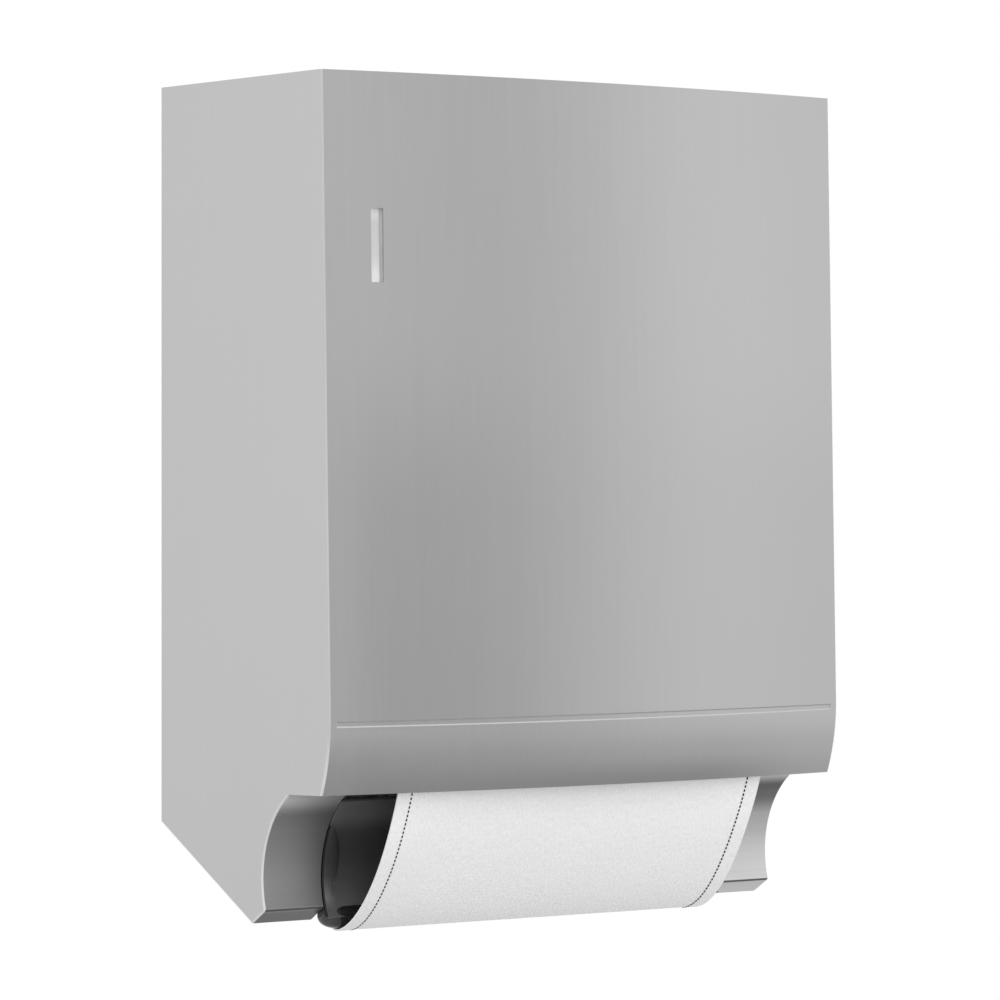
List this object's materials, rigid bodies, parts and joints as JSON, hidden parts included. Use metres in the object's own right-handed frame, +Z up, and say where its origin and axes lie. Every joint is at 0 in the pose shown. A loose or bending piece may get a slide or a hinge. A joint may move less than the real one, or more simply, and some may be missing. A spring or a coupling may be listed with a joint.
{
  "type": "cloth towel dispenser",
  "caption": "Wall-hung dispenser for a cotton roller towel: brushed steel hood with bowed front, dark trough, hanging towel loop, feed and take-up drive inside.",
  "frame": {"origin": "middle of the four wall screw holes, on the wall face of the back plate", "axes": "+X to the right seen from the front, +Y into the wall, +Z up"},
  "size_m": [0.3516, 0.1795, 0.4636],
  "materials": {
    "hood_steel": "upright brushed stainless steel",
    "zinc_steel": "zinc plated",
    "spring_steel": "blued strip",
    "lock_metal": "satin nickel",
    "smoke_plastic": "glossy smoke black",
    "frame_plastic": "fine grain",
    "acetal": "moulded",
    "roller_rubber": "ribbed grip",
    "clean_cotton": "woven cotton with two dashed seams",
    "soiled_cotton": "used woven cotton",
    "board": "wound board tube",
    "pane": "translucent white"
  },
  "bodies": {
    "chassis": {"back_plate": "zinc_steel", "left_frame": "frame_plastic", "right_frame": "frame_plastic", "towel_trough": "smoke_plastic", "lip_bar": "smoke_plastic", "bottom_cover": "smoke_plastic", "exit_rod": "zinc_steel", "tie_rods": "zinc_steel", "frame_screws": "zinc_steel", "hinge_pins": "zinc_steel", "shaft_bushes": "acetal", "pressure_springs": "spring_steel", "clutch_ring": "zinc_steel", "lock_keeper": "zinc_steel", "damper_case": "smoke_plastic", "towel_feed_run": "clean_cotton", "towel_return_run": "clean_cotton"},
    "hood": {"front_panel": "hood_steel", "left_side": "hood_steel", "right_side": "hood_steel", "top_panel": "hood_steel", "left_band": "hood_steel", "right_band": "hood_steel", "left_sole": "hood_steel", "right_sole": "hood_steel", "hinge_leaves": "zinc_steel", "window_bezel": "smoke_plastic", "window_pane": "pane", "lock_barrel": "lock_metal", "lock_nut": "zinc_steel"},
    "lock": {"lock_plug": "lock_metal", "lock_cam": "zinc_steel", "cam_screw": "zinc_steel"},
    "clean_roll": {"roll_spindle": "zinc_steel", "core_plugs": "acetal", "roll_core": "board", "clean_towel": "clean_cotton"},
    "feed_roller": {"feed_shaft": "zinc_steel", "feed_sleeve": "roller_rubber", "feed_gear": "acetal"},
    "pressure_roller": {"pressure_shaft": "zinc_steel", "pressure_sleeve": "roller_rubber"},
    "spring_arbor": {"arbor_shaft": "zinc_steel", "arbor_gear": "acetal"},
    "spring_barrel": {"barrel_drum": "acetal", "barrel_lid": "zinc_steel", "main_spring": "spring_steel"},
    "takeup": {"takeup_shaft": "zinc_steel", "takeup_spool": "acetal", "takeup_gear": "acetal", "soiled_towel": "soiled_cotton"},
    "damper": {"damper_pinion": "acetal"},
    "loop": {"towel_loop": "clean_cotton"}
  },
  "joints": [
    {"name": "hood_hinge", "type": "hinge", "parent": "chassis", "child": "hood", "pos_m": [0, -0.007, 0.2], "axis": [-1, 0, 0], "range_deg": [0, 80]},
    {"name": "lock_turn", "type": "hinge", "parent": "hood", "child": "lock", "pos_m": [0, -0.035, -0.0835], "axis": [-1, 0, 0], "range_deg": [0, 90]},
    {"name": "clean_roll_turn", "type": "hinge", "parent": "chassis", "child": "clean_roll", "pos_m": [0, -0.082, 0.117], "axis": [1, 0, 0], "range_deg": [0, 258.5]},
    {"name": "towel_pull", "type": "slide", "parent": "chassis", "child": "loop", "axis": [0, 0, -1], "range_m": [0, 0.15], "deforming": ["towel_loop"]},
    {"name": "feed_spin", "type": "hinge", "parent": "chassis", "child": "feed_roller", "pos_m": [0, -0.1457, -0.125], "axis": [-1, 0, 0], "continuous": true},
    {"name": "pressure_spin", "type": "hinge", "parent": "chassis", "child": "pressure_roller", "pos_m": [0, -0.1203, -0.125], "axis": [1, 0, 0], "continuous": true},
    {"name": "arbor_spin", "type": "hinge", "parent": "chassis", "child": "spring_arbor", "pos_m": [0, -0.09777, -0.12757], "axis": [1, 0, 0], "continuous": true},
    {"name": "takeup_spin", "type": "hinge", "parent": "chassis", "child": "takeup", "pos_m": [0, -0.074, -0.047], "axis": [1, 0, 0], "continuous": true},
    {"name": "barrel_spin", "type": "hinge", "parent": "chassis", "child": "spring_barrel", "pos_m": [0, -0.09777, -0.12757], "axis": [-1, 0, 0], "continuous": true},
    {"name": "damper_spin", "type": "hinge", "parent": "chassis", "child": "damper", "pos_m": [0, -0.0455, 0.00236], "axis": [-1, 0, 0], "continuous": true}
  ],
  "couplings": [
    {"joint": "towel_pull", "follows": "clean_roll_turn", "m_per_rad": 0.0332},
    {"joint": "feed_spin", "follows": "clean_roll_turn", "ratio": 4.3117},
    {"joint": "pressure_spin", "follows": "clean_roll_turn", "ratio": 7.0638},
    {"joint": "arbor_spin", "follows": "clean_roll_turn", "ratio": 2.587},
    {"joint": "barrel_spin", "follows": "takeup_spin", "ratio": 1.1538},
    {"joint": "damper_spin", "follows": "takeup_spin", "ratio": 3.75}
  ]
}
